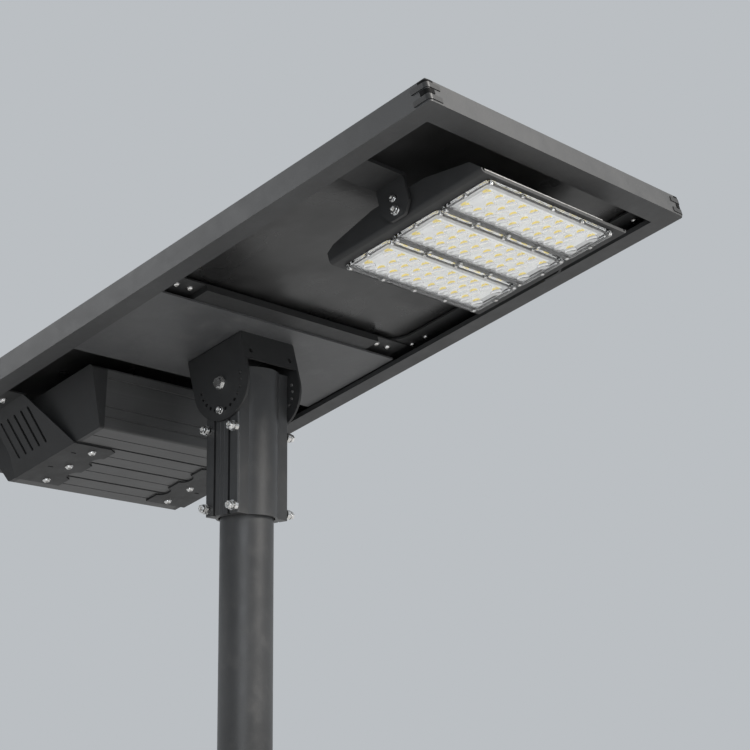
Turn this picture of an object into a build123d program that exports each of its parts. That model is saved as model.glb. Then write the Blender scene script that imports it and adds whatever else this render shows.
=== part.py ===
from build123d import *
import math
import os

os.makedirs("parts", exist_ok=True)

# Solar street lamp head on the top length of its pole. Millimetres, +Z up, the panel's width along X,
# the battery end towards +Y. The origin is the middle of the pole section's lower end.
# The head is drawn flat about the tilt pivot, with Z = 0 on the pivot, and carried to its tilt on saving.

# ---- overall sizes ----
panel_w = 560.0
panel_l = 1060.0
front_reach = 596.0
frame_h = 32.0
frame_z = 52.0
panel_tilt = 15.0
pole_d = 76.0
pole_wall = 3.0
pivot_z = 700.0

# ---- pole sleeve and tilt bracket ----
running_gap = 0.05
side_gap = 0.3
slip = 0.2
pole_drop = 62.0
sleeve_d = 88.0
sleeve_drop = 187.0
sleeve_rise = 24.0
pad_w = 64.0
bracket_w = 110.0
bracket_t = 4.0
bracket_r = 54.0
adjust_r = 39.0
adjust_hole_r = 2.6
adjust_step = 15.0
pivot_r = 5.0
lock_r = 3.0
set_bolt_y = 26.0
set_bolt_r = 4.0
set_bolt_drops = (65.0, 177.0)

# ---- frame section ----
web_t = 3.0
lip_w = 11.0
lip_t = 1.5
groove_h = 5.0
flange_w = 33.0
flange_h = 7.0
skin_t = 2.0
corner_r = 5.0

# ---- sheet parts inside the frame ----
sheet_t = 3.0
bar_t = 2.5
plate_half_w = 243.0
strip_x = 229.0
plate_front = -88.0
plate_rear = 92.0
bay_fillet = 35.0

# ---- lamp tray ----
tray_w = 320.0
tray_t = 2.5
tray_z = 8.0
tray_front = -566.0
tray_rear = -312.0
tray_axis_y = -436.0
tray_axis_z = 20.0
lens_l = 280.0
lens_w = 80.0
lens_t = 3.2
lens_pitch = 81.7
lens_mid_y = -438.7
gasket_t = 0.8
window_l = 262.0
window_w = 64.0
tray_pin_r = 4.0
tray_lock_r = 3.0
tray_slot_r = 17.0
tray_swing = 8.0
tab_t = 5.0
tab_x = 163.0

# ---- battery box ----
battery_mid = 239.5
battery_top_half = 128.5
battery_low_half = 101.5
battery_top_z = 56.0
battery_low_z = -28.0
battery_half_l = 158.0
battery_wall = 3.0
strap_low_x = 168.0
strap_top_x = 212.0
strap_screw_x = 122.0
strap_screw_y = (207.0, 258.0, 309.0)

# ---- sizes that follow ----
front_y = -front_reach
rear_y = panel_l - front_reach
mid_y = (front_y + rear_y) / 2
half_w = panel_w / 2
frame_top = frame_z + frame_h
shelf_top = frame_top - lip_t - groove_h
shelf_low = shelf_top - lip_t
ledge_z = frame_z + flange_h
strip_z = shelf_low - sheet_t
bar_end_z = strip_z - bar_t
sheet_top = ledge_z + sheet_t
bar_top = sheet_top + bar_t
pole_top = pivot_z - pole_drop
pad_x = bracket_w / 2 - bracket_t - side_gap
seat_x = bracket_w / 2
module_ys = [lens_mid_y - lens_pitch, lens_mid_y, lens_mid_y + lens_pitch]
lens_low = tray_z - gasket_t - lens_t

head_place = Location((0, 0, pivot_z), (-panel_tilt, 0, 0))
fixed_place = Location((0, 0, 0))
pivot_place = Location((0, 0, pivot_z))


def save(piece, name, place):
    """Carries a piece to its place, names it and writes it."""
    placed = piece.moved(place)
    placed.label = name
    export_step(placed, f"parts/{name}.step")


def upright_screws(points, seat_z, head_r, head_h, shank_r, reach):
    """Socket screws put in from below: the head hangs under seat_z, the shank goes up."""
    with BuildPart() as group:
        for x, y in points:
            with Locations((x, y, seat_z - head_h / 2)):
                Cylinder(head_r, head_h)
            with Locations((x, y, seat_z + reach / 2)):
                Cylinder(shank_r, reach)
        rims = group.edges().filter_by(GeomType.CIRCLE).group_by(Axis.Z)[0]
        chamfer(rims, head_h * 0.3)
        with BuildSketch(Plane.XY.offset(seat_z - head_h)):
            with Locations(*points):
                RegularPolygon(head_r * 0.5, 6)
        extrude(amount=head_h * 0.55, mode=Mode.SUBTRACT)
    return group.part


def side_bolts(points, side, seat_x_at, head_r, head_h, shank_r, reach):
    """Hexagon bolts along X: side is +1 or -1, the head sits outside seat_x_at, the shank goes inwards."""
    outward = Plane(origin=(side * seat_x_at, 0, 0), x_dir=(0, 1, 0), z_dir=(side, 0, 0))
    flat = [(y, z * side) for y, z in points]
    with BuildPart() as group:
        with BuildSketch(outward):
            with Locations(*flat):
                RegularPolygon(head_r, 6)
        extrude(amount=head_h)
        with BuildSketch(outward):
            with Locations(*flat):
                Circle(shank_r)
        extrude(amount=-reach)
    return group.part


def side_rings(points, side, inner_x, outer_x, ring_r, hole_r):
    """Round washers or nuts along X between inner_x and outer_x."""
    outward = Plane(origin=(side * inner_x, 0, 0), x_dir=(0, 1, 0), z_dir=(side, 0, 0))
    flat = [(y, z * side) for y, z in points]
    with BuildPart() as group:
        with BuildSketch(outward):
            with Locations(*flat):
                Circle(ring_r)
            with Locations(*flat):
                Circle(hole_r, mode=Mode.SUBTRACT)
        extrude(amount=outer_x - inner_x)
    return group.part


# ==================== pole and sleeve ====================
pole_r = pole_d / 2
with BuildPart() as pole_section:
    with BuildSketch(Plane.XY):
        Circle(pole_r)
        Circle(pole_r - pole_wall, mode=Mode.SUBTRACT)
    extrude(amount=pole_top)
save(pole_section.part, "pole_section", fixed_place)

plug_flange = 3.0
with BuildPart() as pole_plug:
    with BuildSketch(Plane.XY.offset(pole_top)):
        Circle(pole_r - 1)
    extrude(amount=plug_flange)
save(pole_plug.part, "pole_plug", fixed_place)

bore_r = pole_r + running_gap
sleeve_low = pivot_z - sleeve_drop
sleeve_h = sleeve_drop + sleeve_rise
pad_groove_y = 14.0
pad_groove_w = 4.0
pad_groove_d = 5.0
pad_lines_y = (-4.0, 4.0)
mouth_r = bore_r + 2.4
mouth_h = 7.0
set_points = [(y, pivot_z - drop) for y in (-set_bolt_y, set_bolt_y) for drop in set_bolt_drops]
with BuildPart() as pole_sleeve:
    with BuildSketch(Plane.XY.offset(sleeve_low)):
        with BuildSketch(mode=Mode.PRIVATE) as pads:
            Rectangle(2 * pad_x, pad_w)
            fillet(pads.vertices(), 3)
        add(pads.sketch)
        Circle(sleeve_d / 2)
        Circle(bore_r, mode=Mode.SUBTRACT)
        for side in (-1, 1):
            with Locations((side * pad_x, -pad_groove_y), (side * pad_x, pad_groove_y)):
                Rectangle(2 * pad_groove_d, pad_groove_w, mode=Mode.SUBTRACT)
            with Locations((side * pad_x, pad_lines_y[0]), (side * pad_x, pad_lines_y[1])):
                Circle(1, mode=Mode.SUBTRACT)
    extrude(amount=sleeve_h)
    with BuildSketch(Plane.XY.offset(sleeve_low)):
        Circle(mouth_r)
    extrude(amount=mouth_h, mode=Mode.SUBTRACT)
    with BuildSketch(Plane.YZ):
        with Locations((0, pivot_z)):
            Circle(pivot_r + slip)
    extrude(amount=pad_x, both=True, mode=Mode.SUBTRACT)
    with BuildSketch(Plane.YZ):
        with Locations(*set_points):
            Circle(set_bolt_r + running_gap)
    extrude(amount=pad_x, both=True, mode=Mode.SUBTRACT)
save(pole_sleeve.part, "pole_sleeve", fixed_place)

set_tip_x = 32.6
set_nut_t = 6.0
set_head_gap = 3.0
set_seat = pad_x + set_nut_t + set_head_gap
left_set = side_bolts(set_points, -1, set_seat, 6.5, 5.5, set_bolt_r, set_seat - set_tip_x)
right_set = side_bolts(set_points, 1, set_seat, 6.5, 5.5, set_bolt_r, set_seat - set_tip_x)
save(Compound(children=[*left_set.solids(), *right_set.solids()]), "set_bolts", fixed_place)
left_jam = side_rings(set_points, -1, pad_x, pad_x + set_nut_t, 7.2, set_bolt_r + running_gap)
right_jam = side_rings(set_points, 1, pad_x, pad_x + set_nut_t, 7.2, set_bolt_r + running_gap)
save(Compound(children=[*left_jam.solids(), *right_jam.solids()]), "set_nuts", fixed_place)

# Pivot bolt through both bracket plates and the sleeve; it stays with the sleeve.
washer_t = 2.0
nut_t = 7.0
head_seat = seat_x + side_gap + washer_t
pivot_hex_r = 7.4
with BuildPart() as pivot_bolt:
    with BuildSketch(Plane.YZ.offset(-head_seat)):
        RegularPolygon(pivot_hex_r, 6)
    extrude(amount=-6)
    with BuildSketch(Plane.YZ.offset(-head_seat)):
        Circle(pivot_r)
    extrude(amount=2 * head_seat + nut_t + 3)
save(pivot_bolt.part, "pivot_bolt", pivot_place)
with BuildPart() as pivot_washers:
    for start in (-head_seat, seat_x + side_gap):
        with BuildSketch(Plane.YZ.offset(start)):
            Circle(10)
            Circle(pivot_r + slip, mode=Mode.SUBTRACT)
        extrude(amount=washer_t)
save(pivot_washers.part, "pivot_washers", pivot_place)
with BuildPart() as pivot_nut:
    with BuildSketch(Plane.YZ.offset(head_seat)):
        RegularPolygon(pivot_hex_r, 6)
        Circle(pivot_r + running_gap, mode=Mode.SUBTRACT)
    extrude(amount=nut_t)
save(pivot_nut.part, "pivot_nut", pivot_place)

# ==================== tilt bracket ====================
base_t = 4.0
base_low = ledge_z - base_t
wall_low = 18.0
wall_t = 3.0
base_bolt_xy = 30.0
base_bolt_r = 4.0
lock_angle = 105.0
with BuildPart() as clevis_bracket:
    with BuildSketch(Plane.YZ.offset(-bracket_w / 2)):
        Circle(bracket_r)
        with Locations((0, ledge_z / 2)):
            Rectangle(2 * bracket_r, ledge_z)
    extrude(amount=bracket_w)
    fillet(clevis_bracket.edges().filter_by(Axis.Y).group_by(Axis.Z)[-1], 3.5)
    with BuildSketch(Plane.YZ.offset(-bracket_w / 2 + bracket_t)):
        with Locations((wall_t / 2, base_low / 2 - bracket_r)):
            Rectangle(2 * bracket_r + wall_t, base_low + 2 * bracket_r)
    extrude(amount=bracket_w - 2 * bracket_t, mode=Mode.SUBTRACT)
    with BuildSketch(Plane.XZ.offset(bracket_r)):
        with Locations((0, (wall_low + base_low) / 2)):
            Rectangle(bracket_w - bracket_t, base_low - wall_low + 1)
        with Locations((-40, 30), (40, 30)):
            Circle(3.5, mode=Mode.SUBTRACT)
    extrude(amount=-wall_t)
    with BuildSketch(Plane.YZ):
        Circle(pivot_r + running_gap)
        for step in range(13):
            angle = math.radians(180 + step * adjust_step)
            with Locations((adjust_r * math.cos(angle), adjust_r * math.sin(angle))):
                Circle(lock_r + slip if step * adjust_step == lock_angle else adjust_hole_r)
    extrude(amount=bracket_w, both=True, mode=Mode.SUBTRACT)
    with BuildSketch(Plane.XY.offset(base_low - 1)):
        with GridLocations(2 * base_bolt_xy, 2 * base_bolt_xy, 2, 2):
            Circle(base_bolt_r + slip)
    extrude(amount=base_t + 2, mode=Mode.SUBTRACT)
save(clevis_bracket.part, "clevis_bracket", head_place)

base_points = [(x, y) for x in (-base_bolt_xy, base_bolt_xy) for y in (-base_bolt_xy, base_bolt_xy)]
base_reach = base_t + sheet_t + 7
save(upright_screws(base_points, base_low, 6.5, 4.5, base_bolt_r, base_reach), "bracket_bolts", head_place)
with BuildPart() as bracket_nuts:
    with BuildSketch(Plane.XY.offset(sheet_top)):
        with GridLocations(2 * base_bolt_xy, 2 * base_bolt_xy, 2, 2):
            RegularPolygon(7.4, 6)
            Circle(base_bolt_r + running_gap, mode=Mode.SUBTRACT)
    extrude(amount=6)
save(bracket_nuts.part, "bracket_nuts", head_place)

lock_y = -adjust_r * math.cos(math.radians(lock_angle))
lock_z = -adjust_r * math.sin(math.radians(lock_angle))
left_lock = side_bolts([(lock_y, lock_z)], -1, seat_x, 5.8, 5, lock_r, bracket_t)
right_lock = side_bolts([(lock_y, lock_z)], 1, seat_x, 5.8, 5, lock_r, bracket_t)
save(Compound(children=[*left_lock.solids(), *right_lock.solids()]), "lock_bolts", head_place)

# ==================== frame rails ====================
band_zs = (55.0, 71.5)
band_h = 7.0
band_out = 1.2
band_leg = 24.0


def band_outline(x_side, y_side, out, deep, leg):
    """Corner band seen from above: a thin L round one corner of the panel."""
    with BuildSketch(mode=Mode.PRIVATE) as band:
        RectangleRounded(panel_w + 2 * out, panel_l + 2 * out, corner_r + out)
        Rectangle(panel_w - 2 * deep, panel_l - 2 * deep, mode=Mode.SUBTRACT)
        with Locations((x_side * half_w, y_side * panel_l / 2)):
            Rectangle(2 * leg, 2 * leg, mode=Mode.INTERSECT)
    with Locations((0, mid_y)):
        add(band.sketch)


def rail(section_plane, length, trapezoid):
    """Extruded frame rail with a closed ledge below, mitred at both ends and notched for the corner bands."""
    with BuildPart() as bar:
        with BuildSketch(section_plane):
            with BuildLine():
                Polyline(
                    (0, frame_z),
                    (flange_w, frame_z),
                    (flange_w, ledge_z),
                    (web_t, ledge_z),
                    (web_t, shelf_low),
                    (lip_w, shelf_low),
                    (lip_w, shelf_top),
                    (web_t, shelf_top),
                    (web_t, shelf_top + groove_h),
                    (lip_w, shelf_top + groove_h),
                    (lip_w, frame_top - 0.4),
                    (lip_w - 1, frame_top),
                    (1, frame_top),
                    (0, frame_top - 1),
                    close=True,
                )
            make_face()
            with Locations(((web_t + flange_w - skin_t) / 2, frame_z + flange_h / 2)):
                Rectangle(flange_w - skin_t - web_t, flange_h - 2 * skin_t, mode=Mode.SUBTRACT)
        extrude(amount=length)
        with BuildSketch(Plane.XY.offset(frame_z)):
            with BuildLine():
                Polyline(*trapezoid, close=True)
            make_face()
        extrude(amount=frame_h, mode=Mode.INTERSECT)
        with BuildSketch(Plane.XY.offset(frame_z)):
            with Locations((0, mid_y)):
                RectangleRounded(panel_w, panel_l, corner_r)
        extrude(amount=frame_h, mode=Mode.INTERSECT)
        for band_z in band_zs:
            with BuildSketch(Plane.XY.offset(band_z - slip / 2)):
                for x_side in (-1, 1):
                    for y_side in (-1, 1):
                        band_outline(x_side, y_side, band_out, web_t + slip, band_leg + slip)
            extrude(amount=band_h + slip, mode=Mode.SUBTRACT)
    return bar.part


mitre = 60.0
left_plane = Plane(origin=(-half_w, rear_y, 0), x_dir=(1, 0, 0), z_dir=(0, -1, 0))
right_plane = Plane(origin=(half_w, front_y, 0), x_dir=(-1, 0, 0), z_dir=(0, 1, 0))
front_plane = Plane(origin=(-half_w, front_y, 0), x_dir=(0, 1, 0), z_dir=(1, 0, 0))
rear_plane = Plane(origin=(half_w, rear_y, 0), x_dir=(0, -1, 0), z_dir=(-1, 0, 0))
in_w = half_w - mitre
front_in = front_y + mitre
rear_in = rear_y - mitre
left_shape = [(-half_w, front_y), (-half_w, rear_y), (-in_w, rear_in), (-in_w, front_in)]
right_shape = [(half_w, front_y), (half_w, rear_y), (in_w, rear_in), (in_w, front_in)]
front_shape = [(-half_w, front_y), (half_w, front_y), (in_w, front_in), (-in_w, front_in)]
rear_shape = [(-half_w, rear_y), (half_w, rear_y), (in_w, rear_in), (-in_w, rear_in)]
save(rail(left_plane, panel_l, left_shape), "rail_left", head_place)
save(rail(right_plane, panel_l, right_shape), "rail_right", head_place)
save(rail(front_plane, panel_w, front_shape), "rail_front", head_place)
save(rail(rear_plane, panel_w, rear_shape), "rail_rear", head_place)

key_out = -(web_t + slip)
key_deep = 14.0
key_leg = 42.0
key_low = ledge_z + slip
key_high = shelf_low - slip


def corner_key(x_side, y_side):
    """Plastic corner key: a block behind the webs and two bands that show round the corner."""
    with BuildPart() as key:
        with BuildSketch(Plane.XY.offset(key_low)):
            with BuildSketch(mode=Mode.PRIVATE) as block:
                Rectangle(panel_w + 2 * key_out, panel_l + 2 * key_out)
                Rectangle(panel_w - 2 * key_deep, panel_l - 2 * key_deep, mode=Mode.SUBTRACT)
                with Locations((x_side * half_w, y_side * panel_l / 2)):
                    Rectangle(2 * key_leg, 2 * key_leg, mode=Mode.INTERSECT)
            with Locations((0, mid_y)):
                add(block.sketch)
        extrude(amount=key_high - key_low)
        for band_z in band_zs:
            with BuildSketch(Plane.XY.offset(band_z)):
                band_outline(x_side, y_side, band_out, web_t + slip, band_leg)
            extrude(amount=band_h)
    return key.part


save(corner_key(-1, -1), "corner_key_front_left", head_place)
save(corner_key(1, -1), "corner_key_front_right", head_place)
save(corner_key(-1, 1), "corner_key_rear_left", head_place)
save(corner_key(1, 1), "corner_key_rear_right", head_place)

# ==================== solar laminate ====================
edge_gap = 0.5
sheet_w = panel_w - 2 * (web_t + edge_gap)
sheet_l = panel_l - 2 * (web_t + edge_gap)
back_t = 0.8
cell_t = 0.8
glass_t = 3.2
cell_w = 83.0
cell_l = 166.0
cell_gap = 2.0


def laminate_sheet(low, thick):
    """One full-size layer of the laminate, its edges inside the frame groove."""
    with BuildPart() as layer:
        with BuildSketch(Plane.XY.offset(low)):
            with Locations((0, mid_y)):
                RectangleRounded(sheet_w, sheet_l, 2)
        extrude(amount=thick)
    return layer.part


save(laminate_sheet(shelf_top, back_t), "backsheet", head_place)
save(laminate_sheet(shelf_top + back_t + cell_t, glass_t), "solar_glass", head_place)
with BuildPart() as solar_cells:
    with BuildSketch(Plane.XY.offset(shelf_top + back_t)):
        with Locations((0, mid_y)):
            with GridLocations(cell_w + cell_gap, cell_l + cell_gap, 6, 6):
                Rectangle(cell_w, cell_l)
    extrude(amount=cell_t)
save(solar_cells.part, "solar_cells", head_place)

with BuildPart() as junction_box:
    with BuildSketch(Plane.XY.offset(shelf_top - 14)):
        with Locations((0, 190)):
            RectangleRounded(110, 80, 6)
    extrude(amount=14)
    with BuildSketch(Plane.XY.offset(shelf_top - 12)):
        with Locations((0, 190)):
            RectangleRounded(104, 74, 4)
    extrude(amount=10, mode=Mode.SUBTRACT)
save(junction_box.part, "junction_box", head_place)

# ==================== sheet parts inside the frame ====================
frame_screw_r = 2.5
strip_screw_x = 256.0
strip_screw_ys = (-534.0, -147.0, -120.0)
tab_screw_xs = (193.6, 218.7)
tab_screw_y = -99.5
strip_end = front_y + 46
strip_rear = 100.0
tab_in = 172.0
tab_front = -107.0
tab_rear = -62.0
rear_screw_x = 238.5
rear_screw_ys = (62.0, 78.0)
strap_top_screw_x = 229.0
strap_top_ys = (258.0, 286.0)
rest_half_w = half_w - 18
rest_in = 203.0
rest_ys = (236.0, 312.0)
led_flange_ys = (-459.0, -413.0)
led_screw_x = half_w - 25.5
led_screw_ys = (-448.0, -424.0)


def points_both(x, ys):
    """The same rows of points on the left and the right of the head."""
    return [(side * x, y) for side in (-1, 1) for y in ys]


with BuildPart() as mounting_plate:
    with BuildSketch(Plane.XY.offset(ledge_z)):
        with Locations((0, (plate_front + plate_rear) / 2)):
            Rectangle(2 * plate_half_w, plate_rear - plate_front)
        with GridLocations(2 * base_bolt_xy, 2 * base_bolt_xy, 2, 2):
            Circle(base_bolt_r + slip, mode=Mode.SUBTRACT)
    extrude(amount=sheet_t)
save(mounting_plate.part, "mounting_plate", head_place)


def bay_strip(side):
    """Side strip of the lamp bay, pressed up under the rail's shelf, with its rounded inner corner."""
    strip_out = side * (half_w - web_t - edge_gap)
    with BuildPart() as strip:
        with BuildSketch(Plane.XY.offset(strip_z)) as outline:
            with BuildLine():
                Polyline(
                    (strip_out, strip_end),
                    (side * strip_x, strip_end),
                    (side * strip_x, tab_front),
                    (side * tab_in, tab_front),
                    (side * tab_in, tab_rear),
                    (side * strip_x, tab_rear),
                    (side * strip_x, strip_rear),
                    (strip_out, strip_rear),
                    close=True,
                )
            make_face()
            inner = outline.vertices().sort_by_distance((side * strip_x, tab_front, strip_z))[0]
            fillet(inner, bay_fillet)
            spots = [(side * strip_screw_x, y) for y in strip_screw_ys]
            spots += [(side * x, tab_screw_y) for x in tab_screw_xs]
            spots += [(side * rear_screw_x, y) for y in rear_screw_ys]
            with Locations(*spots):
                Circle(frame_screw_r + slip, mode=Mode.SUBTRACT)
        extrude(amount=sheet_t)
    return strip.part


save(bay_strip(-1), "bay_strip_left", head_place)
save(bay_strip(1), "bay_strip_right", head_place)


def rear_strip(side):
    """Short strip on the frame's ledge that one battery strap is screwed to."""
    with BuildPart() as strip:
        with BuildSketch(Plane.XY.offset(ledge_z)):
            with Locations((side * (rest_half_w + rest_in) / 2, (rest_ys[0] + rest_ys[1]) / 2)):
                Rectangle(rest_half_w - rest_in, rest_ys[1] - rest_ys[0])
            with Locations(*[(side * strap_top_screw_x, y) for y in strap_top_ys]):
                Circle(3 + slip, mode=Mode.SUBTRACT)
        extrude(amount=sheet_t)
    return strip.part


save(rear_strip(-1), "rear_strip_left", head_place)
save(rear_strip(1), "rear_strip_right", head_place)

bar_half_l = 178.0
bar_tip = 248.0


def crossbar(low_y, high_y, end_low_y, end_high_y, holes):
    """Channel across the frame: open upwards, with raised flat ends screwed under the side strips."""
    with BuildPart() as bar:
        with BuildSketch(Plane.XY.offset(sheet_top)):
            with Locations((0, (low_y + high_y) / 2)):
                Rectangle(2 * bar_half_l, high_y - low_y)
        extrude(amount=strip_z - sheet_top)
        with BuildSketch(Plane.XY.offset(bar_top)):
            with Locations((0, (low_y + high_y) / 2)):
                Rectangle(2 * (bar_half_l - bar_t), high_y - low_y - 2 * bar_t)
        extrude(amount=strip_z - bar_top, mode=Mode.SUBTRACT)
        with BuildSketch(Plane.XY.offset(bar_end_z)):
            for side in (-1, 1):
                with Locations((side * (bar_half_l - bar_t + bar_tip) / 2, (end_low_y + end_high_y) / 2)):
                    Rectangle(bar_tip - bar_half_l + bar_t, end_high_y - end_low_y)
            with Locations(*holes):
                Circle(frame_screw_r + slip, mode=Mode.SUBTRACT)
        extrude(amount=bar_t)
    return bar.part


tab_points = [(side * x, tab_screw_y) for side in (-1, 1) for x in tab_screw_xs]
rear_points = points_both(rear_screw_x, rear_screw_ys)
save(crossbar(-116.0, -56.0, -116.0, -66.0, tab_points), "crossbar_front", head_place)
save(crossbar(50.0, 90.0, 50.0, 90.0, rear_points), "crossbar_rear", head_place)

bar_screws = upright_screws(tab_points + rear_points, bar_end_z, 5, 3.2, frame_screw_r, bar_t + sheet_t)
strip_points = points_both(strip_screw_x, strip_screw_ys)
strip_screws = upright_screws(strip_points, strip_z, 5, 3.2, frame_screw_r, sheet_t)
save(Compound(children=[*bar_screws.solids(), *strip_screws.solids()]), "frame_screws", head_place)

# ==================== lamp tray brackets ====================
flange_in = tab_x
led_foot_x = half_w - 16
slot_half = math.radians(tray_swing + 2.0)
slot_l = 2 * tray_slot_r * math.sin(slot_half)
slot_rise = 2 * tray_slot_r * (1 - math.cos(slot_half))
tab_low_r = 12.0


def led_bracket(side):
    """Angle that hangs the tray: foot on the frame's ledge, tab with pivot hole and curved slot."""
    outer = tab_x + tab_t
    tab_mid = (led_flange_ys[0] + led_flange_ys[1]) / 2
    with BuildPart() as angle:
        with BuildSketch(Plane.XY.offset(ledge_z)):
            with Locations((side * (flange_in + led_foot_x) / 2, tab_mid)):
                Rectangle(led_foot_x - flange_in, led_flange_ys[1] - led_flange_ys[0])
            with Locations(*[(side * led_screw_x, y) for y in led_screw_ys]):
                Circle(frame_screw_r + slip, mode=Mode.SUBTRACT)
        extrude(amount=tab_t)
        with BuildSketch(Plane.YZ.offset(min(side * tab_x, side * outer))) as tab:
            with BuildLine():
                Polyline(
                    (led_flange_ys[0], ledge_z + 1),
                    (led_flange_ys[0], tray_axis_z + 4),
                    (tray_axis_y - tab_low_r, tray_axis_z - tab_low_r + 1),
                    (tray_axis_y + tab_low_r, tray_axis_z - tab_low_r + 1),
                    (led_flange_ys[1], tray_axis_z + 4),
                    (led_flange_ys[1], ledge_z + 1),
                    close=True,
                )
            make_face()
            fillet(tab.vertices().group_by(Axis.Z)[0], 6)
            with Locations((tray_axis_y, tray_axis_z)):
                Circle(tray_pin_r + running_gap, mode=Mode.SUBTRACT)
        extrude(amount=tab_t)
        with BuildSketch(Plane.YZ.offset(min(side * tab_x, side * outer))):
            with Locations((tray_axis_y, tray_axis_z + tray_slot_r)):
                SlotCenterToCenter(slot_l, 2 * (tray_lock_r + side_gap) + slot_rise)
        extrude(amount=tab_t, mode=Mode.SUBTRACT)
    return angle.part


save(led_bracket(-1), "led_bracket_left", head_place)
save(led_bracket(1), "led_bracket_right", head_place)
led_points = [(x, -y) for x, y in points_both(led_screw_x, led_screw_ys)]
led_screws = upright_screws(led_points, -(ledge_z + tab_t), 5, 3.2, frame_screw_r, tab_t)
save(led_screws.moved(Location((0, 0, 0), (180, 0, 0))), "led_bracket_screws", head_place)

# ==================== lamp tray ====================
tray_half = tray_w / 2
lip_rise = 5.0
side_top = [
    (tray_rear, tray_z - 1),
    (tray_rear, 24),
    (tray_rear - 12, 31),
    (-395, 44),
    (-482, 44),
    (-552, 29),
    (tray_front, 14),
    (tray_front, tray_z - 1),
]
lens_screw_xs = (-131.0, -65.5, 0.0, 65.5, 131.0)
lens_screw_dy = 36.0
lens_screw_r = 1.5
lens_spots = [(x, dy) for x in lens_screw_xs for dy in (-lens_screw_dy, lens_screw_dy)]
lens_spots += [(-136.0, 0.0), (136.0, 0.0)]
all_lens_spots = [(x, y + dy) for y in module_ys for x, dy in lens_spots]
with BuildPart() as light_tray:
    with BuildSketch(Plane.XZ.offset(-tray_rear)) as channel:
        with Locations((0, tray_z + 40)):
            Rectangle(tray_w, 80)
        fillet(channel.vertices().group_by(Axis.Z)[0], 6)
        with BuildSketch(Plane.XZ.offset(-tray_rear), mode=Mode.PRIVATE) as hollow:
            with Locations((0, tray_z + tray_t + 40)):
                Rectangle(tray_w - 2 * tray_t, 80)
            fillet(hollow.vertices().group_by(Axis.Z)[0], 3.5)
        add(hollow.sketch, mode=Mode.SUBTRACT)
    extrude(amount=tray_rear - tray_front)
    with BuildSketch(Plane.YZ.offset(-tray_half)):
        with BuildLine():
            Polyline(*side_top, close=True)
        make_face()
    extrude(amount=tray_w, mode=Mode.INTERSECT)
    with BuildSketch(Plane.XZ.offset(-tray_front)):
        with Locations((0, tray_z + lip_rise / 2)):
            Rectangle(tray_w - 14, lip_rise)
    extrude(amount=-tray_t)
    with BuildSketch(Plane.XY.offset(tray_z - 1)):
        with Locations(*[(0, y) for y in module_ys]):
            Rectangle(window_l, window_w)
        with Locations(*all_lens_spots):
            Circle(lens_screw_r + slip)
    extrude(amount=tray_t + 2, mode=Mode.SUBTRACT)
    with BuildSketch(Plane.YZ):
        with Locations((tray_axis_y, tray_axis_z)):
            Circle(tray_pin_r + slip)
        with Locations((tray_axis_y, tray_axis_z + tray_slot_r)):
            Circle(tray_lock_r + slip)
    extrude(amount=tray_half, both=True, mode=Mode.SUBTRACT)
save(light_tray.part, "light_tray", head_place)

tab_out = tab_x + tab_t
tray_spacer = tab_x - side_gap
pin_spots = [(tray_axis_y, tray_axis_z)]
lock_spots = [(tray_axis_y, tray_axis_z + tray_slot_r)]
tray_in = tray_half - tray_t
pin_seat = tab_out + side_gap
pins = [side_bolts(pin_spots, s, pin_seat, 6.8, 5.5, tray_pin_r, pin_seat - tray_in + 7) for s in (-1, 1)]
save(Compound(children=[*pins[0].solids(), *pins[1].solids()]), "tray_pivot_bolts", head_place)
locks = [side_bolts(lock_spots, s, pin_seat, 5, 3.5, tray_lock_r, pin_seat - tray_in + 5) for s in (-1, 1)]
save(Compound(children=[*locks[0].solids(), *locks[1].solids()]), "tray_lock_bolts", head_place)
rings = []
for side in (-1, 1):
    rings += side_rings(pin_spots, side, tray_half, tray_spacer, 8, tray_pin_r + slip).solids()
    rings += side_rings(pin_spots, side, tray_in - 6, tray_in, 7, tray_pin_r + running_gap).solids()
save(Compound(children=rings), "tray_spacers_nuts", head_place)

# ==================== lamp modules ====================
pcb_t = 1.6
chip = 5.0
chip_t = 1.2
led_pitch = 24.6
led_mid_gap = 31.4
outer_row = [led_mid_gap / 2 + led_pitch * i for i in range(5)]
inner_row = [led_pitch / 2 + led_pitch * i for i in range(4)]
row_dy = 17.5
led_spots = [(side * x, dy) for side in (-1, 1) for x in outer_row for dy in (-row_dy, row_dy)]
led_spots += [(side * x, 0.0) for side in (-1, 1) for x in inner_row]
sink_low = tray_z + tray_t
sink_t = 4.0
fin_h = 14.0
fin_t = 1.6


def heatsink(y):
    """Finned aluminium base of one module, on the upper side of the tray."""
    with BuildPart() as sink:
        with BuildSketch(Plane.XY.offset(sink_low)):
            with Locations((0, y)):
                Rectangle(lens_l - 4, lens_w - 3)
        extrude(amount=sink_t)
        with BuildSketch(Plane.XY.offset(sink_low + sink_t)):
            with Locations((0, y)):
                with GridLocations(1, 9, 1, 8):
                    Rectangle(lens_l - 20, fin_t)
        extrude(amount=fin_h)
        with BuildSketch(Plane.XY.offset(sink_low)):
            with Locations(*[(x, y + dy) for x, dy in lens_spots]):
                Circle(lens_screw_r + running_gap)
        extrude(amount=sink_t - 1, mode=Mode.SUBTRACT)
    return sink.part


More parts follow.
